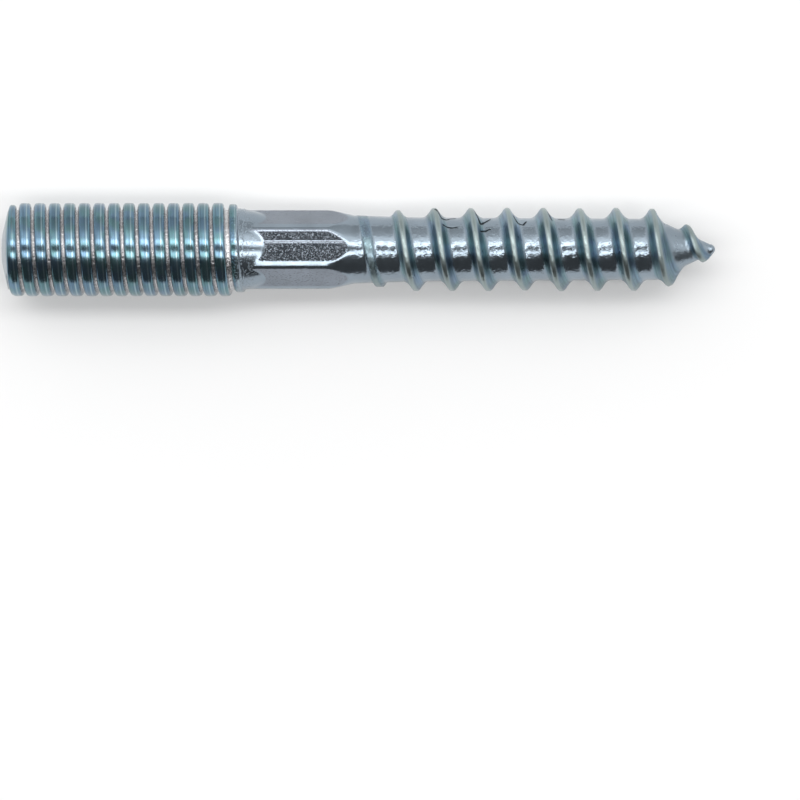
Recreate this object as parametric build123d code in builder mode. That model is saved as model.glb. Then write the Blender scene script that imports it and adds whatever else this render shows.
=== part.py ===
from build123d import *
from math import cos, radians, sin
from numpy import interp
import os

# Hanger bolt M8 x 60: one forged and rolled steel piece, in millimetres.
# It lies along X on its machine-thread stud, with its bottom at Z = 0 and its middle at X = 0.
# The stud is at -X, the pressed hexagon in the middle and the wood thread's point at +X.

# ---- lengths along the bolt ----
overall_length = 59.9
stud_length = 20.4  # machine-thread stud, from its flat end to the shoulder
grip_length = 9.2  # pressed hexagon, from the shoulder to the wood thread's neck

# ---- machine-thread stud, M8 x 1.25: its fine thread is left to the surface finish ----
stud_radius = 3.92  # over the crests
stud_run_out = 1.3  # the thread sinks into the shoulder over this length
end_radius = 1.3  # flat end inside its rounded chamfer
end_chamfer_length = 1.1
end_chamfer_round = 0.13  # how far the chamfer bends outwards

# ---- grip: hexagon pressed into the round blank, so that pliers can turn the bolt ----
shoulder_radius = 3.42  # round blank beside the stud
shoulder_length = 2.1  # from the blank down to the flats
shoulder_round = 0.06  # how far its side bends outwards
grip_across_flats = 5.9
grip_corner_radius = 3.3  # the corners keep the round of the blank
grip_taper_length = 2.2  # the corners run down to the neck
grip_taper_round = 0.06  # how far that run bends outwards
grip_turn = -3.7  # degrees that the top flat leans from straight up

# ---- wood thread, right-hand ----
neck_radius = 2.86  # plain neck behind the thread
wood_radius = 3.5  # over the crests
wood_root_radius = 2.68  # core at the first full turn
wood_root_taper = 0.12  # the core is this much thinner where the point begins
wood_pitch = 3.05
wood_crest_width = 0.34
wood_flank_width = 0.92  # one flank, measured along the bolt, with its hollow root
wood_flank_bend = 0.36  # the flank bends this far out from crest and root, which hollows it
wood_start_angle = 287.0  # where the thread leaves the neck, degrees from +Y towards +Z
wood_run_in = 5.3  # the crest rises from the neck to its full height over this length
point_length = 5.0  # cone of the core
tip_radius = 0.42  # round nose at the end of the cone
# crest near the neck: (distance from the neck, height over it)
neck_crests = ((0.0, -0.15), (0.7, 0.03), (1.9, 0.28))
# crest at the point: (distance from the tip, share of the full radius)
point_crests = ((0.75, 0.16), (1.05, 0.37), (2.3, 0.58), (3.7, 0.88), (5.6, 1.0))

# ---- how the thread is built ----
sections_per_turn = 12
root_sink = 0.06  # the ridge runs this far into its core, so that the two fuse cleanly
least_height = 0.02  # a ridge that has run out keeps this height, inside its core

# ---- places along the bolt, measured from its flat end ----
wood_start = stud_length + grip_length
run_in_end = wood_start + wood_run_in
point_start = overall_length - point_length
nose_start = overall_length - tip_radius
thread_end = overall_length - point_crests[0][0]
end_x = -overall_length / 2
axis_height = stud_radius

# X of this plane runs along the bolt from its flat end, Y is the distance from its axis
side = Plane(origin=(end_x, 0, axis_height), x_dir=(1, 0, 0), z_dir=(0, -1, 0))
bolt_axis = Axis((end_x, 0, axis_height), (1, 0, 0))


def core_radius(position):
    """Radius of the core, from the neck past the first full turn to the cone of the point."""
    places = (wood_start, run_in_end, point_start, nose_start)
    point_radius = wood_root_radius - wood_root_taper
    return float(interp(position, places, (neck_radius, wood_root_radius, point_radius, tip_radius)))


def crest_radius(position):
    """Radius over the crest: it rises out of the neck, stays level and falls towards the tip."""
    starts, heights = zip(*neck_crests)
    places = [wood_start + start for start in starts] + [run_in_end]
    rising = interp(position, places, [neck_radius + height for height in heights] + [wood_radius])
    distances, shares = zip(*point_crests)
    falling = wood_radius * interp(overall_length - position, distances, shares)
    return float(min(rising, falling))


def ridge_section(position, angle):
    """Section of the thread along the bolt: a crest, two hollow flanks and a foot in the core."""
    top = max(crest_radius(position), core_radius(position) - root_sink / 2)
    height = top - core_radius(position) + root_sink
    crest_end = wood_crest_width / 2
    flank = wood_flank_width * height / (wood_radius - wood_root_radius)
    foot = crest_end + flank
    left_root = min(core_radius(position - foot) - root_sink, top - least_height)
    right_root = min(core_radius(position + foot) - root_sink, top - least_height)
    left_bend = left_root + wood_flank_bend * (top - left_root)
    right_bend = right_root + wood_flank_bend * (top - right_root)
    bend = crest_end + wood_flank_bend * flank
    turn = radians(angle)
    origin = (end_x + position, 0, axis_height)
    radial = Plane(origin=origin, x_dir=(1, 0, 0), z_dir=(0, -sin(turn), cos(turn)))
    with BuildSketch(radial) as section:
        with BuildLine():
            Polyline(
                (-foot, left_root),
                (foot, right_root),
                (bend, right_bend),
                (crest_end, top),
                (-crest_end, top),
                (-bend, left_bend),
                close=True,
            )
        make_face()
    return section.sketch


def ridge_turns():
    """The right-hand thread as a list of lofts of one turn each, which share their end faces."""
    count = int((thread_end - wood_start) / wood_pitch * sections_per_turn)
    sections = []
    for step in range(count + 1):
        turns = step / sections_per_turn
        sections.append(ridge_section(wood_start + wood_pitch * turns, wood_start_angle + 360 * turns))
    return [
        loft(sections[first : first + sections_per_turn + 1], mode=Mode.PRIVATE)
        for first in range(0, count, sections_per_turn)
    ]


# Machine-thread stud with its rounded end, and the run-out down to the shoulder.
with BuildPart() as stud:
    with BuildSketch(side):
        with BuildLine():
            Polyline(
                (end_chamfer_length, stud_radius),
                (stud_length - stud_run_out, stud_radius),
                (stud_length, shoulder_radius),
                (stud_length, 0),
                (0, 0),
                (0, end_radius),
            )
            SagittaArc((0, end_radius), (end_chamfer_length, stud_radius), end_chamfer_round)
        make_face()
    revolve(axis=bolt_axis)

# Grip: a hexagon whose corners keep the round of the blank, and the round shoulder over it.
with BuildPart() as grip:
    with BuildSketch(Plane((end_x + stud_length, 0, axis_height), x_dir=(0, 1, 0), z_dir=(1, 0, 0))):
        RegularPolygon(grip_across_flats / 2, 6, major_radius=False, rotation=grip_turn)
    extrude(amount=grip_length)
    with BuildSketch(side):
        with BuildLine():
            Polyline(
                (wood_start, neck_radius),
                (wood_start, 0),
                (stud_length, 0),
                (stud_length, grip_corner_radius),
                (wood_start - grip_taper_length, grip_corner_radius),
            )
            SagittaArc(
                (wood_start - grip_taper_length, grip_corner_radius),
                (wood_start, neck_radius),
                grip_taper_round,
            )
        make_face()
    revolve(axis=bolt_axis, mode=Mode.INTERSECT)
    with BuildSketch(side):
        with BuildLine():
            Polyline(
                (stud_length + shoulder_length, grip_across_flats / 2),
                (stud_length + shoulder_length, 0),
                (stud_length, 0),
                (stud_length, shoulder_radius),
            )
            SagittaArc(
                (stud_length, shoulder_radius),
                (stud_length + shoulder_length, grip_across_flats / 2),
                shoulder_round,
            )
        make_face()
    revolve(axis=bolt_axis)

# Wood screw: a tapering core with a cone and a small round nose, and the thread on it.
with BuildPart() as screw:
    with BuildSketch(side):
        with BuildLine():
            Polyline(
                (overall_length, 0),
                (wood_start, 0),
                (wood_start, neck_radius),
                (run_in_end, core_radius(run_in_end)),
                (point_start, core_radius(point_start)),
                (nose_start, tip_radius),
            )
            CenterArc((nose_start, 0), tip_radius, 0, 90)
        make_face()
    revolve(axis=bolt_axis)
    add(ridge_turns())

with BuildPart() as hanger_bolt:
    add([stud.part, grip.part, screw.part])

os.makedirs("parts", exist_ok=True)
hanger_bolt.part.label = "hanger_bolt"
export_step(hanger_bolt.part, "parts/hanger_bolt.step")
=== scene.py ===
# %% [markdown]
# # A hanger bolt, as one spiral surface
#
# A hanger bolt joins two worlds: a machine thread for a nut at one end, and a coarse wood thread
# with a sharp point at the other. Between them a hexagon is pressed into the shank, for pliers.
# The CAD model gives the bolt's true size and place. This lesson dresses it: both threads with
# their rolled flanks, the pressed flats, and the bluish zinc plating that makes such hardware shine.

from math import cos, pi, radians, sin, tan

import bpy
import numpy as np
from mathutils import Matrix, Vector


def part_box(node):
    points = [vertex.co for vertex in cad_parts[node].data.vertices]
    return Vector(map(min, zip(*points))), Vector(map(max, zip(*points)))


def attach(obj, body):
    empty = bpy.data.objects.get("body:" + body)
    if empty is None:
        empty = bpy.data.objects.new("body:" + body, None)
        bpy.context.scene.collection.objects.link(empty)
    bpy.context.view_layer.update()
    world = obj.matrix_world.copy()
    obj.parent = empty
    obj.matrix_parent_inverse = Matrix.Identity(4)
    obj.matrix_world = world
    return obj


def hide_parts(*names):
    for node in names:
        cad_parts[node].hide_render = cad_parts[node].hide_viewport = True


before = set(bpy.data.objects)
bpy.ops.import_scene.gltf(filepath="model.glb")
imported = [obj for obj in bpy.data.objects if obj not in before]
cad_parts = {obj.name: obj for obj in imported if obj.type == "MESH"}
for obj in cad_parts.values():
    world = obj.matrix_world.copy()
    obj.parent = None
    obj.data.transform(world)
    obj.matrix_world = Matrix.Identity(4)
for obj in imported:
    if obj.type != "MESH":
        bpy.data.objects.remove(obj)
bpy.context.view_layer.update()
low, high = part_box("hanger_bolt")

MM = 0.001
length = (high.x - low.x) / MM
stud_radius = (high.y - low.y) / MM / 2
axis_height = low.z / MM + stud_radius
print(f"the bolt is {length:.2f} mm long and {2 * stud_radius:.2f} mm over its machine thread")

# %% [markdown]
# ## Sizes
#
# Everything is measured in millimetres along the bolt, from its flat end, and in degrees round it,
# from +Y towards +Z. A right-hand thread moves away from the flat end as that angle grows.
# Most of these are the sizes that the solid was built from. The others only show close up: the
# thread's root, the bevels, and corners that are a few hundredths of a millimetre fuller.

# %% Sizes along the bolt and across it
stud_length = 20.4
wood_start = 29.6
point_start = length - 5.0
tip_radius = 0.42
nose_start = length - tip_radius

machine_pitch = 1.25
machine_start_angle = -185.0
machine_root_radius = 3.33

shoulder_radius = 3.42
grip_apothem = 2.95
bevel_apothem = 3.135
bevel_turn = 12.0
grip_corner_radius = 3.34
flat_angle = 86.3

neck_radius = 2.86
wood_radius = 3.5
wood_root_radius = 2.68
point_root_radius = 2.56
wood_pitch = 3.05
wood_start_angle = 287.0
wood_run_in = 5.3
print(f"the wood thread is {2 * wood_radius} mm over its crests, with a pitch of {wood_pitch} mm")

# %% [markdown]
# ## A grid that follows both threads
#
# A thread could be a ridge swept along a helix and joined to a cylinder, but the joint is hard to
# close. Here the whole bolt is one grid instead, and the grid itself is wound like a thread: after
# one turn, each row of points runs on into the row that lies one pitch further. So every crest
# falls on a row of its own and stays sharp with few faces, and there is no seam to close.
#
# The counter `q` grows by one from row to row, and by `rows_per_turn` in each turn. A row takes
# up little of the bolt on the machine thread and more on the wood thread. Between the two, a
# cubic curve carries the spacing over smoothly, and its length is chosen so that a row of the
# wood thread meets a crest too.

# %% Stretches of the row counter
rows_per_turn = 24
columns = 132
end_rows = 8
nose_rows = 8

machine_step = machine_pitch / rows_per_turn
wood_step = wood_pitch / rows_per_turn
change_start, change_end = stud_length + 0.4, wood_start - 1.2

machine_crest_place = -machine_pitch * machine_start_angle / 360
wood_crest_place = wood_start - wood_pitch * wood_start_angle / 360
first_fraction = (machine_crest_place / machine_step) % 1

change_first = change_start / machine_step
natural_rows = 2 * (change_end - change_start) / (machine_step + wood_step)
wood_crest_count = change_first + natural_rows + (wood_crest_place - change_end) / wood_step
misfit = (wood_crest_count - first_fraction + 0.5) % 1 - 0.5
change_rows = natural_rows - misfit
change_last = change_first + change_rows
nose_first = change_last + (nose_start - change_end) / wood_step
nose_last = nose_first + nose_rows
print(f"{change_first:.1f} rows on the machine thread, then {change_rows:.1f} rows of growing spacing")


# %% From the row counter to the place along the bolt
def place_along(q):
    """Place for a counter: linear on each thread, a cubic between, a quarter circle at the tip."""
    t = np.clip((q - change_first) / change_rows, 0, 1)
    cubic = (
        (2 * t**3 - 3 * t**2 + 1) * change_start
        + (t**3 - 2 * t**2 + t) * machine_step * change_rows
        + (3 * t**2 - 2 * t**3) * change_end
        + (t**3 - t**2) * wood_step * change_rows
    )
    turned = np.clip((q - nose_first) / nose_rows, 0, 1) * pi / 2
    machine = machine_step * np.clip(q, 0, change_first)
    wood = change_end + wood_step * (np.clip(q, change_last, nose_first) - change_last)
    middle = np.where(q < change_last, cubic, wood)
    return np.where(q < change_first, machine, middle) + tip_radius * np.sin(turned)


def closing(q):
    """Share of the radius that is left: 1 along the bolt, down to 0 over the flat end and the nose."""
    turned = np.clip((q - nose_first) / nose_rows, 0, 1) * pi / 2
    return np.clip(1 + q / end_rows, 0, 1) * np.cos(turned)


row = np.arange(-end_rows - rows_per_turn, int(nose_last) + 2)
column = np.arange(columns)
q = first_fraction + row[:, None] + rows_per_turn * column[None, :] / columns
angle = np.broadcast_to(360.0 * column / columns, q.shape)
place = place_along(q)
print(f"{row.size} rows by {columns} columns, from {place.min():.2f} to {place.max():.2f} mm")

# %% [markdown]
# ## The machine thread
#
# This thread is rolled, not cut: two dies press the grooves in and the metal flows up into the
# crests. The two flows meet at the top, which leaves a hairline along each crest and rounds it.
# A first choice might be a saw-tooth from a formula for metric threads. Rolled metal is fuller:
# a broad, slightly domed ridge that drops steeply into a narrow, level root. A high power of the
# distance from the crest has just that shape. The lap line sits a little off the middle, where the
# flows meet. Near both ends the metal doesn't fill the dies, so each crest keeps the height that it
# has in its own middle, and steps down from turn to turn.


# %% Distance from a crest
def from_crest(place, angle, pitch, crest_place):
    """Signed distance along the bolt from the nearest crest: place less the helix's own, wrapped."""
    turns = (place - crest_place) / pitch - angle / 360
    return pitch * (turns - np.round(turns))


end_gap = from_crest(0.0, 0.0, machine_pitch, machine_crest_place)
print(f"at the flat end, towards +Y, the nearest machine crest is {abs(end_gap):.2f} mm away")

# %% The section of one machine ridge
ridge_half = 0.56
last_ridge_half = 0.38
ridge_dome = 0.1
lap_offset = 0.15
lap_depth = 0.035


def across_ridge(place, away):
    """0 on the crest and 1 where the ridge ends: the distance over half the ridge's width."""
    half = np.interp(place - away, (stud_length - 1.8, stud_length - 0.9), (ridge_half, last_ridge_half))
    return np.abs(away) / half


def machine_height(across):
    """1 on the crest and 0 in the root: one less a shallow square and a steep eighth power."""
    t = np.clip(across, 0, 1)
    return 1 - ridge_dome * t**2 - (1 - ridge_dome) * t**8


print(f"each machine ridge is {2 * ridge_half:.2f} mm wide, of a pitch of {machine_pitch} mm")


# %% The machine thread's radius
def machine_radius(place, angle):
    """Root radius plus the thread's height, inside the round of the end."""
    away = from_crest(place, angle, machine_pitch, machine_crest_place)
    rounded_end = np.interp(
        place, (0, 0.1, 0.22, 0.36, 0.5, 0.64, 1.1), (1.3, 1.75, 2.25, 2.85, 3.35, 3.72, stud_radius)
    )
    crest = np.interp(
        place - away,
        (0, 0.7, 1.3, stud_length - 1.3, stud_length - 0.4, stud_length),
        (3.4, 3.8, stud_radius, stud_radius, 3.6, shoulder_radius),
    )
    root = np.interp(
        place,
        (0, 0.9, stud_length - 1.5, stud_length - 0.5, stud_length),
        (3.3, machine_root_radius, machine_root_radius, 3.46, shoulder_radius),
    )
    lap = lap_depth * (np.abs(away - lap_offset) < 0.4 * machine_step)
    height = np.maximum(crest - root, 0) * (machine_height(across_ridge(place, away)) - lap)
    return np.minimum(root + height, rounded_end)


crest_at_middle = machine_crest_place + 8 * machine_pitch
root_at_middle = crest_at_middle + machine_pitch / 2
print(f"radius of a crest: {machine_radius(crest_at_middle, 0.0):.2f} mm")
print(f"radius of a root: {machine_radius(root_at_middle, 0.0):.2f} mm")

# %% [markdown]
# ## The pressed grip
#
# Six flats are squeezed into the round shank. Between them the shank's own round is left as six
# narrow corners, and at the stud the round shoulder runs out over the flats like a fingertip.
# So the shape is a hexagon cut by a round bar, joined to a tapering shoulder. Both steps are a
# smallest or a largest radius in each direction, and a soft version of each rounds the edges.


# %% Soft minimum and maximum
def soft_min(a, b, width):
    """The smaller of two arrays, with a parabola of that width where they cross."""
    share = np.clip(0.5 + 0.5 * (b - a) / width, 0, 1)
    return b + (a - b) * share - width * share * (1 - share)


def soft_max(a, b, width):
    """The larger of two arrays, rounded in the same way."""
    return -soft_min(-a, -b, width)


print(f"two radii of 3 mm, with a width of 0.1 mm, give {soft_min(3.0, 3.0, 0.1):.3f} mm")


# %% Flats, bevels, corners and shoulder
def from_flat(angle):
    """Angle from the nearest flat's middle, from -30 to 30 degrees."""
    return (angle - flat_angle + 30) % 60 - 30


def hexagon_radius(angle):
    """Distance to the flats: the apothem over the cosine of the angle from the nearest flat's middle."""
    return grip_apothem / np.cos(np.radians(from_flat(angle)))


def bevel_radius(angle):
    """Distance to the bevels: one beside each flat, where the dies squeezed the metal out."""
    return bevel_apothem / np.cos(np.radians((angle - flat_angle - bevel_turn + 30) % 60 - 30))


def corner_radius(place):
    """The round of the shank between the flats, which runs down to the neck."""
    return np.interp(
        place,
        (wood_start - 2.2, wood_start - 1.2, wood_start - 0.4, wood_start),
        (grip_corner_radius, 3.14, 2.95, neck_radius),
    )


def shoulder_taper(place):
    """The shoulder beside the stud, which bends gently down and runs out below the flats."""
    distances = (-0.2, 0.4, 0.9, 1.5, 1.8, 2.4)
    radii = (shoulder_radius, 3.3, 3.21, 3.06, grip_apothem, 2.6)
    return np.interp(place - stud_length, distances, radii)


print(f"the flats are {2 * grip_apothem:.2f} mm apart, and the corners {2 * grip_corner_radius:.2f} mm")

# %% The grip's radius
bevel_rounding = 0.02
corner_rounding = 0.07
shoulder_rounding = 0.08


def grip_radius(place, angle):
    """Hexagon with its bevels, cut by the round of the shank and joined to the shoulder."""
    pressed = soft_min(hexagon_radius(angle), bevel_radius(angle), bevel_rounding)
    pressed = soft_min(pressed, corner_radius(place), corner_rounding)
    return soft_max(pressed, shoulder_taper(place), shoulder_rounding)


grip_middle = (stud_length + wood_start) / 2
print(f"radius in the middle of a flat: {grip_radius(grip_middle, flat_angle):.2f} mm")

# %% [markdown]
# ## The wood thread
#
# A wood thread has a wide pitch and a thin, hollow-sided ridge, so that it cuts wood fibres and
# leaves them room. It rises out of the plain neck over a turn or two, keeps its height, and then
# follows the point down to the tip. Each flank is a power curve, steep at the crest and almost
# level where it meets the core, and it is about as wide as the ridge is high.


# %% The wood screw's core and crest
def core_radius(place):
    """Radius of the core: neck, a slight taper along the thread, and the cone of the point."""
    places = (wood_start, wood_start + wood_run_in, point_start, nose_start)
    return np.interp(place, places, (neck_radius, wood_root_radius, point_root_radius, tip_radius))


def wood_crest_radius(place):
    """Radius over the crest: it rises from the neck, stays level and falls towards the tip."""
    rising = np.interp(
        place - wood_start,
        (0, 0.7, 1.9, wood_run_in),
        (neck_radius - 0.15, neck_radius + 0.03, neck_radius + 0.28, wood_radius),
    )
    falling = wood_radius * np.interp(
        length - place, (0, 0.55, 0.86, 2.3, 3.7, 5.6), (0, 0.13, 0.33, 0.59, 0.88, 1)
    )
    return np.minimum(rising, falling)


run_in_places = wood_start + np.array([1.0, 3.0, wood_run_in])
print("the wood crest's radius along its run-in:", wood_crest_radius(run_in_places).round(2))

# %% The ridge of the wood thread
flank_hollow = 2.2
flank_reach = 1.12
least_flank = 0.15
crest_loss = 0.02


def crest_waves(crest_place):
    """A rolled crest is never quite even: two waves raise and lower it by up to 0.035 mm."""
    slow = 0.02 * np.sin(radians(170) * crest_place)
    quick = 0.015 * np.sin(radians(620) * crest_place + 1)
    return slow + quick


def wood_height(place, angle):
    """(height of the ridge, share of it): level on the crest, then (1 - t) to the hollow's power."""
    away = from_crest(place, angle, wood_pitch, wood_crest_place)
    crest_place = place - away
    height = wood_crest_radius(crest_place) - core_radius(crest_place)
    height = np.maximum(height + crest_waves(crest_place) * (height > 0.3) - crest_loss, 0)
    crest_half = np.interp(height, (0.05, 0.25, 0.5), (0.4, 0.3, 0.18))
    flank = np.maximum(flank_reach * height, least_flank)
    t = np.clip((np.abs(away) - crest_half) / flank, 0, 1)
    return height, (1 - t) ** flank_hollow


def wood_screw_radius(place, angle):
    """Radius of the core, plus the ridge's height times its share."""
    height, share = wood_height(place, angle)
    return core_radius(place) + height * share


wood_middle = wood_crest_place + 5 * wood_pitch
print(f"height of the ridge in the middle: {wood_height(wood_middle, 0.0)[0]:.2f} mm")

# %% [markdown]
# ## One closed surface
#
# The three radius functions share the bolt between them, so one array holds the radius of every
# point. At both ends the spiral closes on a single point: all points past the end become one, and
# triangles that lose a corner in this way are dropped. The join after a full turn is made by
# numbering alone: the last column of a row is the first column of the row one turn further.

# %% Radius and position of every point
radius = np.where(
    place < stud_length,
    machine_radius(place, angle),
    np.where(place < wood_start, grip_radius(place, angle), wood_screw_radius(place, angle)),
)
radius = radius * closing(q)
turn = np.radians(angle)
points = np.stack(
    [
        low.x + MM * place,
        MM * radius * np.cos(turn),
        MM * (axis_height + radius * np.sin(turn)),
    ],
    axis=-1,
)
print(f"the radius runs up to {radius.max():.3f} mm")

# %% Number the points and make the triangles
number = np.arange(q.size).reshape(q.shape)
number[q <= -end_rows] = 0
number[q >= nose_last] = q.size - 1
one_turn_on = np.minimum(np.arange(row.size) + rows_per_turn, row.size - 1)
number = np.hstack([number, number[one_turn_on, :1]])

a, b = number[:-1, :-1].ravel(), number[1:, :-1].ravel()
d, c = number[:-1, 1:].ravel(), number[1:, 1:].ravel()
triangles = np.concatenate([np.stack([a, d, c], 1), np.stack([a, c, b], 1)])
whole = (
    (triangles[:, 0] != triangles[:, 1])
    & (triangles[:, 1] != triangles[:, 2])
    & (triangles[:, 2] != triangles[:, 0])
)
used, triangles = np.unique(triangles[whole], return_inverse=True)
triangles = triangles.reshape(-1, 3)
print(f"{used.size} points and {len(triangles)} triangles")

# %% [markdown]
# ## Marks for the finish
#
# The plating isn't the same everywhere. It looks teal on the rolled threads, silver on the shank
# and the core, and grey and grainy on the pressed flats. Where either thread runs out, the metal
# is rough. An image could be painted for this, but it would need unwrapping and would blur close
# up. Instead, each point of the surface carries a few numbers from 0 to 1, made from the same
# formulas as its shape, and the material reads them as attributes. They stay in place however
# the bolt is turned or lit.


# %% Distances that the marks are made of
def fade(value, start, end):
    """0 before start and 1 past end, with a straight run between. Start may be the larger."""
    return np.clip((value - start) / (end - start), 0, 1)


machine_from = from_crest(place, angle, machine_pitch, machine_crest_place)
machine_across = across_ridge(place, machine_from)
wood_from = from_crest(place, angle, wood_pitch, wood_crest_place)
wood_away = np.abs(wood_from)
on_machine = fade(place, stud_length + 0.25, stud_length - 0.1)
on_crest_line = fade(np.abs(machine_from - lap_offset), 0.06, 0.02)
on_wood = fade(place, wood_start, wood_start + 0.2)
ridge_height, ridge_share = wood_height(place, angle)
ridge_height = ridge_height * on_wood
raised = fade(ridge_height, 0.15, 0.4)
on_flank = raised * fade(ridge_share, 0.05, 0.2) * fade(wood_away, 0.18, 0.27)
beside_flat = np.minimum(corner_radius(place), bevel_radius(angle)) - hexagon_radius(angle)
print(f"the wood ridge is up to {ridge_height.max():.2f} mm high")

# %% The two run-outs
# They are the first turn of the wood thread, and the last turn of the machine thread.
crest_past_start = place - wood_from - wood_start
first_turn = on_wood * fade(ridge_share, 0.3, 0.7) * fade(crest_past_start, 3.2, 2.2)
past_stud = place - stud_length
machine_end = fade(past_stud, -1.5, -1.0) * fade(past_stud, 1.2, 0.3)
print(f"{(first_turn > 0).sum()} points on the first turn, {(machine_end > 0).sum()} on the last")

# %% The marks
marks = {
    "machine_ridge": on_machine
    * fade(machine_across, 0.9, 0.82)
    * fade(place, 0.25, 0.4)
    * fade(place, stud_length - 0.5, stud_length - 0.7),
    "machine_root": on_machine
    * fade(machine_across, 0.82, 0.9)
    * fade(place, 0.5, 0.65)
    * fade(place, stud_length - 0.7, stud_length - 1.0),
    "run_out": np.maximum(machine_end, first_turn),
    # A pale line along the lap of each machine crest, which the material paints as a highlight.
    "painted_crest_highlight": on_machine * on_crest_line * fade(place, 0.8, 1.2),
    "wood_flank": np.maximum(on_flank, 0.6 * first_turn),
    "wood_crest": raised * fade(wood_away, 0.27, 0.18),
    "pressed": fade(beside_flat, -0.01, 0.03)
    * fade(hexagon_radius(angle) - shoulder_taper(place), 0, 0.04)
    * fade(place, stud_length + 0.2, stud_length + 0.5)
    * fade(place, wood_start, wood_start - 0.2),
}
print("mean of each mark over all points:")
for name, values in marks.items():
    print(f"  {name}: {values.mean():.2f}")

# %% Lines that follow the rolling
# This vector changes fast across a ridge and slowly along it, so noise on it makes long lines.
across_lines, along_lines, line_drift = 9, 0.9, 0.15
away = np.where(place < grip_middle, np.abs(machine_from), wood_away)
grain = np.stack(
    [across_lines * away, along_lines * np.cos(turn), along_lines * np.sin(turn) + line_drift * place],
    axis=-1,
)
fineness = across_lines * wood_radius / along_lines
print(f"noise on this vector changes {fineness:.0f} times as fast across a ridge as along it")

# %% [markdown]
# ## From arrays to a mesh
#
# A mesh could be filled face by face, but with so many faces that is slow. Blender's `foreach_set`
# copies a whole array at once: first the points, then the corners of the triangles, then one
# attribute for each mark.

# %% Build the mesh
mesh = bpy.data.meshes.new("plated_bolt")
mesh.vertices.add(used.size)
mesh.vertices.foreach_set("co", points.reshape(-1, 3)[used].ravel())
mesh.loops.add(triangles.size)
mesh.loops.foreach_set("vertex_index", triangles.ravel())
mesh.polygons.add(len(triangles))
mesh.polygons.foreach_set("loop_start", np.arange(0, triangles.size, 3))
mesh.update()
mesh.validate()
mesh.polygons.foreach_set("use_smooth", np.ones(len(mesh.polygons), bool))

for name, values in marks.items():
    mark = mesh.attributes.new(name, "FLOAT", "POINT")
    mark.data.foreach_set("value", values.ravel()[used].astype(np.float32))
lines = mesh.attributes.new("rolled_lines", "FLOAT_VECTOR", "POINT")
lines.data.foreach_set("vector", grain.reshape(-1, 3)[used].astype(np.float32).ravel())

bolt = bpy.data.objects.new("plated_bolt", mesh)
bpy.context.collection.objects.link(bolt)
print(f"the mesh has {len(mesh.polygons)} triangles and {len(mesh.attributes)} attributes")

# %% [markdown]
# ## Helpers for a material
#
# Blender builds a material from nodes. Making each node by hand takes several lines, so one short
# function makes a node, sets its values and links its inputs. The other helpers below are built on
# it. The material then reads like a recipe: a mark, a ramp, a mix.


# %% One function that makes a node
def add_node(tree, kind, inputs=(), **settings):
    """Makes a node, applies its settings and fills its inputs: a socket is linked, a value is set."""
    node = tree.nodes.new(kind)
    for setting, value in settings.items():
        setattr(node, setting, value)
    for name, value in dict(inputs).items():
        if isinstance(value, bpy.types.NodeSocket):
            tree.links.new(value, node.inputs[name])
        else:
            node.inputs[name].default_value = value
    return node


zinc = bpy.data.materials.new("blue_zinc")
zinc.use_nodes = True
tree = zinc.node_tree
tree.nodes.clear()
place_vector = add_node(tree, "ShaderNodeTexCoord").outputs["Object"]
print(f"{zinc.name} starts with {len(tree.nodes)} node, which gives each point's own place")


# %% Read the marks
def math_node(tree, operation, first, second=0.0, clamp=False):
    """A Math node's result. Both operands may be sockets or numbers."""
    inputs = {0: first, 1: second}
    return add_node(tree, "ShaderNodeMath", inputs, operation=operation, use_clamp=clamp).outputs[0]


def mark_value(tree, name, result="Fac"):
    """One of the surface's marks, as a number, or as a vector where result is "Vector"."""
    node = add_node(tree, "ShaderNodeAttribute", attribute_name=name, attribute_type="GEOMETRY")
    return node.outputs[result]


rolled_vector = mark_value(tree, "rolled_lines", "Vector")

machine_ridge = mark_value(tree, "machine_ridge")
machine_root = mark_value(tree, "machine_root")
run_out = mark_value(tree, "run_out")
painted_crest_highlight = mark_value(tree, "painted_crest_highlight")
wood_flank = mark_value(tree, "wood_flank")
wood_crest = mark_value(tree, "wood_crest")
pressed = mark_value(tree, "pressed")
rolled = math_node(tree, "MAXIMUM", machine_ridge, wood_flank)
print(f"{len(tree.nodes)} nodes, of which most read a mark")

# %% [markdown]
# ## Creases and the die seam
#
# Rolling folds the metal over here and there, which leaves short creases on the wood thread's
# core. The material sinks and roughens them, and paints them near black as painted shade inside
# each fold. The two halves of the pressing die also leave a thin raised line along the top flat.
# Both could be cut into the mesh, but they are thinner than its faces. So the material works out
# how far each point lies from the nearest crease. The surface is unrolled into a flat sheet for
# this, because a straight run between two points then stays on it, and noise makes the runs wander.

# %% Where the creases run
# Each crease is a short chain of points, as (place along the bolt, angle round it).
creases = (
    ((36.45, 16), (37.0, 34), (37.65, 18), (38.1, 14)),
    ((37.2, 48), (38.3, 47)),
    ((39.75, 15), (40.3, 43), (41.05, 20)),
    ((40.4, 60), (41.1, 51)),
    ((43.05, 27), (43.4, 38), (43.9, 40), (44.1, 29)),
    ((45.9, 17), (46.25, 34)),
    ((46.8, 17), (47.3, 19)),
)
print(f"{len(creases)} creases with {sum(len(chain) - 1 for chain in creases)} straight runs")


# %% Unroll the surface into a sheet
unrolled_radius = 2.75


def on_the_sheet(place, angle):
    """A point of the unrolled surface, in metres: the place along it, and the arc from +Y."""
    return (MM * place, MM * unrolled_radius * radians(angle), 0.0)


axes = add_node(tree, "ShaderNodeSeparateXYZ", {0: place_vector})
along_bolt = axes.outputs["X"]
above_axis = math_node(tree, "SUBTRACT", axes.outputs["Z"], MM * axis_height)
turned = math_node(tree, "ARCTAN2", above_axis, axes.outputs["Y"])
sheet = add_node(
    tree,
    "ShaderNodeCombineXYZ",
    {
        "X": math_node(tree, "SUBTRACT", along_bolt, low.x),
        "Y": math_node(tree, "MULTIPLY", turned, MM * unrolled_radius),
    },
).outputs[0]
print(f"the sheet is {length:.1f} mm long and {2 * pi * unrolled_radius:.1f} mm across")


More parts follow.
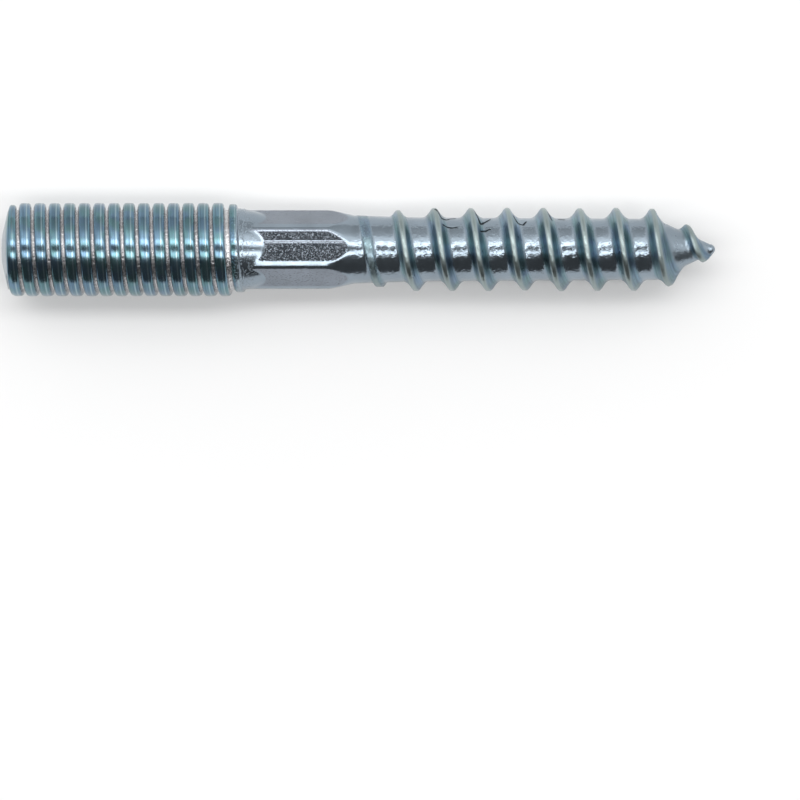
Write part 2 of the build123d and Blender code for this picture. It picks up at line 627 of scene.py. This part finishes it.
# %% Move the points a little, so that the runs wander
def vector_node(tree, operation, inputs, result=0):
    """A Vector Math node's result: a vector, or its number where result is "Value"."""
    return add_node(tree, "ShaderNodeVectorMath", inputs, operation=operation).outputs[result]


wobble_size = 0.16 * MM
wobble_noise = {"Vector": place_vector, "Scale": 2500, "Detail": 2}
wobble = add_node(tree, "ShaderNodeTexNoise", wobble_noise).outputs["Color"]
wobble = vector_node(tree, "SUBTRACT", {0: wobble, 1: (0.5, 0.5, 0.5)})
wobble = vector_node(tree, "SCALE", {0: wobble, "Scale": wobble_size})
wobble = vector_node(tree, "MULTIPLY", {0: wobble, 1: (1, 1, 0)})
wandering = vector_node(tree, "ADD", {0: sheet, 1: wobble})
print(f"a point moves by up to {wobble_size / 2 / MM:.2f} mm each way")


# %% Distance to the nearest crease
def ramp(tree, value, start, end, low_value=0.0, high_value=1.0):
    """A straight run between two values, level outside them."""
    inputs = {"Value": value, "From Min": start, "From Max": end}
    inputs.update({"To Min": low_value, "To Max": high_value})
    return add_node(tree, "ShaderNodeMapRange", inputs).outputs["Result"]


def distance_to_run(tree, point, start, end):
    """Distance from a point to a straight run: the point less its nearest point on the run."""
    run = [e - s for s, e in zip(start, end)]
    squared = sum(r * r for r in run)
    from_start = vector_node(tree, "SUBTRACT", {0: point, 1: start})
    along = vector_node(tree, "DOT_PRODUCT", {0: from_start, 1: run}, "Value")
    share = math_node(tree, "DIVIDE", along, squared, clamp=True)
    nearest = vector_node(tree, "SCALE", {0: run, "Scale": share})
    return vector_node(tree, "DISTANCE", {0: from_start, 1: nearest}, "Value")


crease_core, crease_edge = 0.05 * MM, 0.11 * MM
nearest_crease = 1.0
for chain in creases:
    corners = [on_the_sheet(place, angle) for place, angle in chain]
    for start, end in zip(corners, corners[1:]):
        gap = distance_to_run(tree, wandering, start, end)
        nearest_crease = math_node(tree, "MINIMUM", gap, nearest_crease)
crease = ramp(tree, nearest_crease, crease_core, crease_edge, 1, 0)
print(f"a crease is {2 * crease_core / MM:.2f} mm wide, and {2 * crease_edge / MM:.2f} mm with its edges")

# %% The die seam on the top flat
# It lies a little off the flat's middle.
seam_offset = 0.62 * MM
across = math_node(tree, "SUBTRACT", axes.outputs["Y"], seam_offset)
off_seam = math_node(tree, "ABSOLUTE", across)
upper_side = math_node(tree, "GREATER_THAN", above_axis, 0.0)
seam = math_node(tree, "MULTIPLY", ramp(tree, off_seam, 0.03 * MM, 0.12 * MM, 1, 0), upper_side)
seam = math_node(tree, "MULTIPLY", seam, pressed)
print(f"the seam lies {seam_offset / MM:.2f} mm from the bolt's middle")

# %% [markdown]
# ## The zinc plating
#
# Bright zinc with a thin blue passivation is a metal with a colour of its own. The film is thin
# enough to shift between teal and blue where its thickness changes, which noise with lumps of a
# millimetre or two gives. A paint-like colour under a clear coat would look flat here. Each mark
# then mixes in its own colour: silver crests and roots, and grey flats. The wood thread's flanks get
# painted light, a paler and warmer copy of the film against the dark reflections of the turns beside
# them. Each machine crest gets a painted highlight along its lap, and each crease gets painted shade.
# A noise scale counts lumps to the metre, so that 700 makes lumps of about a millimetre and a half.

# %% Colours of the plating
SILVER = (0.265, 0.32, 0.37, 1)
TEAL = (0.12, 0.225, 0.25, 1)
BLUE = (0.12, 0.2, 0.275, 1)
# Painted light that makes the wood thread's flanks paler and warmer.
PAINTED_FLANK_LIGHT = (1.3, 1.12, 1.1, 1)
CREST_SILVER = (0.3, 0.36, 0.36, 1)
# Painted highlight along the lap of each machine crest.
CREST_HIGHLIGHT_COLOUR = (0.34, 0.44, 0.48, 1)
ROOT_SILVER = (0.6, 0.6, 0.61, 1)
PRESSED_GREY = (0.22, 0.25, 0.29, 1)
# Painted shade inside the creases.
PAINTED_CREASE_SHADE = (0.03, 0.04, 0.045, 1)
print(f"the film's colours: teal {TEAL[:3]}, blue {BLUE[:3]}")


# %% Mix the colours by the marks
def noise(tree, vector, scale, detail=2.0, roughness=0.5):
    """Noise from 0 to 1, with so many lumps to a unit of the vector."""
    inputs = {"Vector": vector, "Scale": scale, "Detail": detail, "Roughness": roughness}
    return add_node(tree, "ShaderNodeTexNoise", inputs).outputs["Fac"]


def mix_colour(tree, share, first, second, blend="MIX"):
    """A Mix node's colour: the first where share is 0, the second where it is 1."""
    node = add_node(tree, "ShaderNodeMix", data_type="RGBA", blend_type=blend)
    for slot, value in ((0, share), (6, first), (7, second)):
        if isinstance(value, bpy.types.NodeSocket):
            tree.links.new(value, node.inputs[slot])
        else:
            node.inputs[slot].default_value = value
    return node.outputs[2]


def grey(tree, value):
    """A colour whose three parts are the same number."""
    return add_node(tree, "ShaderNodeCombineColor", {0: value, 1: value, 2: value}).outputs[0]


film = ramp(tree, noise(tree, place_vector, 700, 3), 0.4, 0.6)
film_colour = mix_colour(tree, film, TEAL, BLUE)
streaks = ramp(tree, noise(tree, rolled_vector, 1.0, 2), 0.35, 0.65, 0.8, 1.25)
film_colour = mix_colour(tree, 1.0, film_colour, grey(tree, streaks), "MULTIPLY")
# Painted light: the wood thread's flanks are made paler, against the dark reflections of the turns beside
# them.
painted_light_flank_colour = mix_colour(tree, 1.0, film_colour, PAINTED_FLANK_LIGHT, "MULTIPLY")
film_colour = mix_colour(tree, wood_flank, film_colour, painted_light_flank_colour)
colour = mix_colour(tree, rolled, SILVER, film_colour)
colour = mix_colour(tree, wood_crest, colour, CREST_SILVER)
colour = mix_colour(tree, machine_root, colour, ROOT_SILVER)
colour = mix_colour(tree, pressed, colour, PRESSED_GREY)
# Painted highlight: a pale line along the lap of each machine crest.
colour = mix_colour(tree, painted_crest_highlight, colour, CREST_HIGHLIGHT_COLOUR)
cloud = ramp(tree, noise(tree, place_vector, 350, 4), 0.3, 0.7, 0.88, 1.08)
colour = mix_colour(tree, 1.0, colour, grey(tree, cloud), "MULTIPLY")
# Painted shade: the creases are coloured near black for the shade inside each fold.
colour = mix_colour(tree, crease, colour, PAINTED_CREASE_SHADE)
print(f"{len(tree.nodes)} nodes so far, most of them for the creases")

# %% [markdown]
# ## Roughness and bumps
#
# Small bumps break the mirror up into a lively glitter. Rolled lines run along the threads, beads
# of zinc fill the machine thread's roots, and the wood thread's core has shallow dents. The
# pressed flats have fine grains and sparkles, and both run-outs sparkle too. Real displacement
# would need millions of faces for this, so the bumps only bend the normal. The larger shapes, down
# to the lap line on each machine crest, are in the mesh itself.

# %% Roughness
at_point = ramp(tree, along_bolt, low.x + MM * (point_start - 1), low.x + MM * (point_start + 1))
roughness = ramp(tree, noise(tree, place_vector, 1500, 3), 0.3, 0.7, 0.14, 0.22)
rougher = (
    (machine_root, 0.08),
    (wood_flank, 0.13),
    (wood_crest, 0.14),
    (pressed, -0.07),
    (at_point, 0.12),
    (crease, 0.5),
)
for mark, change in rougher:
    roughness = math_node(tree, "ADD", roughness, math_node(tree, "MULTIPLY", mark, change), clamp=True)
print(f"{len(rougher)} marks change the roughness")

# %% Where each kind of bump is
on_screw = ramp(tree, along_bolt, low.x + MM * (wood_start - 0.3), low.x + MM * (wood_start + 0.5))
spots = ramp(tree, noise(tree, place_vector, 3300, 2), 0.45, 0.7)
smooth_core = math_node(tree, "SUBTRACT", 1.0, math_node(tree, "MAXIMUM", rolled, pressed))
dents = math_node(tree, "MULTIPLY", spots, math_node(tree, "MULTIPLY", smooth_core, on_screw))
beads = math_node(tree, "MULTIPLY", noise(tree, place_vector, 3800, 2), machine_root)
grains = math_node(tree, "MULTIPLY", noise(tree, place_vector, 6000, 2), pressed)
sparkles = ramp(tree, noise(tree, place_vector, 6500, 1), 0.58, 0.66)
run_out_gain = 1.6
rough_out = math_node(tree, "MULTIPLY", run_out, run_out_gain)
sparkles = math_node(tree, "MULTIPLY", sparkles, math_node(tree, "MAXIMUM", pressed, rough_out))
rolling = math_node(tree, "MULTIPLY", noise(tree, rolled_vector, 2.2, 3), rolled)
waves = noise(tree, place_vector, 1800, 3)
sunk_crease = math_node(tree, "MULTIPLY", crease, -1.0)
print(f"the sparkles on a run-out are {run_out_gain} times as high as on the flats")


# %% Add the bumps up
def bump(tree, height, distance, normal=None):
    """Bends the normal as if the surface rose by so many metres where the height is 1."""
    inputs = {"Height": height, "Distance": distance, "Strength": 1.0}
    if normal:
        inputs["Normal"] = normal
    return add_node(tree, "ShaderNodeBump", inputs).outputs["Normal"]


bumps = (
    (waves, 0.005),
    (dents, 0.01),
    (beads, 0.08),
    (grains, 0.004),
    (sparkles, 0.015),
    (rolling, 0.015),
    (seam, 0.012),
    (sunk_crease, 0.05),
)
normal = None
for height, distance in bumps:
    normal = bump(tree, height, distance * MM, normal)
print(f"{len(bumps)} bumps, up to {max(distance for height, distance in bumps)} mm high")

# %% The shader
surface = add_node(
    tree,
    "ShaderNodeBsdfPrincipled",
    {"Base Color": colour, "Metallic": 1.0, "Roughness": roughness, "Normal": normal},
)
add_node(tree, "ShaderNodeOutputMaterial", {"Surface": surface.outputs[0]})
mesh.materials.append(zinc)
print(f"{zinc.name} has {len(tree.nodes)} nodes")

# %% [markdown]
# ## Floor, lamps and surroundings
#
# A polished round bar shows its surroundings as stripes, so the light decides how it reads. Two
# long soft lamps hang over the bolt, one on each side of the camera, with a gap between them:
# they give the pair of bright lines with a dark line in the middle. Pale walls on the far side
# and beyond both ends light its upper half and the sides of its ridges, and the near side of the
# room is left dim, which rounds the lower half. A plain sky of one colour would be simpler, but a
# mirror-like bolt would look flat in it. The floor is white paper, and a faint glow that only the
# camera and mirrors see keeps its shadow pale.

# %% The floor
floor_size = 6.0
PAPER_WHITE = (0.86, 0.86, 0.86, 1)
floor_mesh = bpy.data.meshes.new("floor")
half = floor_size / 2
floor_corners = [(-half, -half, low.z), (half, -half, low.z), (half, half, low.z), (-half, half, low.z)]
floor_mesh.from_pydata(floor_corners, [], [(0, 1, 2, 3)])
floor = bpy.data.objects.new("floor", floor_mesh)
bpy.context.collection.objects.link(floor)

paper = bpy.data.materials.new("white_paper")
paper.use_nodes = True
tree = paper.node_tree
tree.nodes.clear()
rays = add_node(tree, "ShaderNodeLightPath").outputs
seen = math_node(tree, "MAXIMUM", rays["Is Camera Ray"], rays["Is Glossy Ray"])
seen = math_node(tree, "MAXIMUM", seen, rays["Is Transmission Ray"])
glow_share = 0.15
share = math_node(tree, "MULTIPLY", seen, glow_share)
matte = add_node(tree, "ShaderNodeBsdfDiffuse", {"Color": PAPER_WHITE})
glow = add_node(tree, "ShaderNodeEmission", {"Color": (1, 1, 1, 1), "Strength": 1.0})
blend = add_node(tree, "ShaderNodeMixShader", {0: share, 1: matte.outputs[0], 2: glow.outputs[0]})
add_node(tree, "ShaderNodeOutputMaterial", {"Surface": blend.outputs[0]})
floor_mesh.materials.append(paper)
print(f"the floor is {floor_size:.0f} m wide, and {glow_share:.0%} of what is seen of it is its own glow")

# %% Two long soft lamps
lamp_height = 0.9
lamp_length = 1.6
lamp_radiance = 3.8


def long_lamp(name, near_angle, far_angle):
    """A flat lamp that fills the angles between two angles from straight up, in degrees towards +Y."""
    inner, outer = lamp_height * tan(radians(near_angle)), lamp_height * tan(radians(far_angle))
    light = bpy.data.lights.new(name, "AREA")
    light.shape = "RECTANGLE"
    light.size, light.size_y = lamp_length, outer - inner
    light.energy = lamp_radiance * pi * lamp_length * (outer - inner)
    lamp = bpy.data.objects.new(name, light)
    lamp.location = (0, (inner + outer) / 2, lamp_height)
    bpy.context.collection.objects.link(lamp)
    print(f"{name}: {1000 * light.size_y:.0f} mm wide, {light.energy:.2f} W")


long_lamp("far_lamp", 12, 25)
long_lamp("near_lamp", -19, -6)

# %% Pale walls on the far side, dim on the near side
# The ramp runs from straight towards the near side (0) to straight towards the far side (1).
END_WALL_GREY = (0.55, 0.55, 0.55, 1)
wall_strength = 2.0
world = bpy.data.worlds.new("studio")
bpy.context.scene.world = world
world.use_nodes = True
tree = world.node_tree
tree.nodes.clear()
direction = add_node(tree, "ShaderNodeTexCoord").outputs["Generated"]
direction = add_node(tree, "ShaderNodeSeparateXYZ", {0: direction}).outputs
to_far_side = direction["Y"]
wall = add_node(tree, "ShaderNodeValToRGB", {"Fac": ramp(tree, to_far_side, -1, 1)})
stops = wall.color_ramp.elements
stops[0].position, stops[0].color = 0.25, (0.05, 0.05, 0.05, 1)
stops[1].position, stops[1].color = 1.0, (0.32, 0.32, 0.32, 1)
near_greys = ((0.42, 0.06), (0.5, 0.08), (0.58, 0.1))
far_greys = ((0.7, 0.35), (0.75, 0.95), (0.82, 0.8), (0.88, 0.45))
for position, level in near_greys + far_greys:
    stops.new(position).color = (level, level, level, 1)
end_wall = ramp(tree, math_node(tree, "ABSOLUTE", direction["X"]), 0.3, 0.7)
end_wall = math_node(tree, "MULTIPLY", end_wall, ramp(tree, to_far_side, -0.35, 0.15))
lit = mix_colour(tree, end_wall, wall.outputs["Color"], END_WALL_GREY)
sky = add_node(tree, "ShaderNodeBackground", {"Color": lit, "Strength": wall_strength})
add_node(tree, "ShaderNodeOutputWorld", {"Surface": sky.outputs[0]})
print(f"the wall's grey has {len(stops)} stops from the near side to the far side")

# %% [markdown]
# ## Camera
#
# A view without any perspective would be simple, but a real lens always has a little. Here a long
# lens looks almost straight down, so the bolt keeps its true proportions. The camera stands a
# little towards the point, which turns that end slightly nearer, and it is aimed off the bolt, so
# that the bolt lies in the upper part of the picture.

# %% Place the camera
camera_distance = 1.5
camera_lean = radians(3)
view_width = 67.17 * MM
bolt_left_of_centre = 3.49 * MM
bolt_above_centre = 12.64 * MM

camera_data = bpy.data.cameras.new("camera")
camera_data.sensor_width = 36
camera_data.lens = camera_data.sensor_width * camera_distance / view_width
camera = bpy.data.objects.new("camera", camera_data)
bpy.context.collection.objects.link(camera)
aim = ((low.x + high.x) / 2 + bolt_left_of_centre, -bolt_above_centre, MM * axis_height)
camera.location = (
    aim[0] + camera_distance * sin(camera_lean),
    aim[1],
    aim[2] + camera_distance * cos(camera_lean),
)
camera.rotation_euler = (0, camera_lean, 0)
bpy.context.scene.camera = camera
print(f"the lens is {camera_data.lens:.0f} mm, and the picture is {view_width / MM:.1f} mm wide")

# %% [markdown]
# ## Hand the bolt over to the frame
#
# The drawn bolt rides on the part's one body and takes the place of its plain CAD node, which is hidden.

# %% View settings, and the frame's bookkeeping
bpy.context.scene.view_settings.view_transform = "Standard"
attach(bolt, "root")
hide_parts("hanger_bolt")
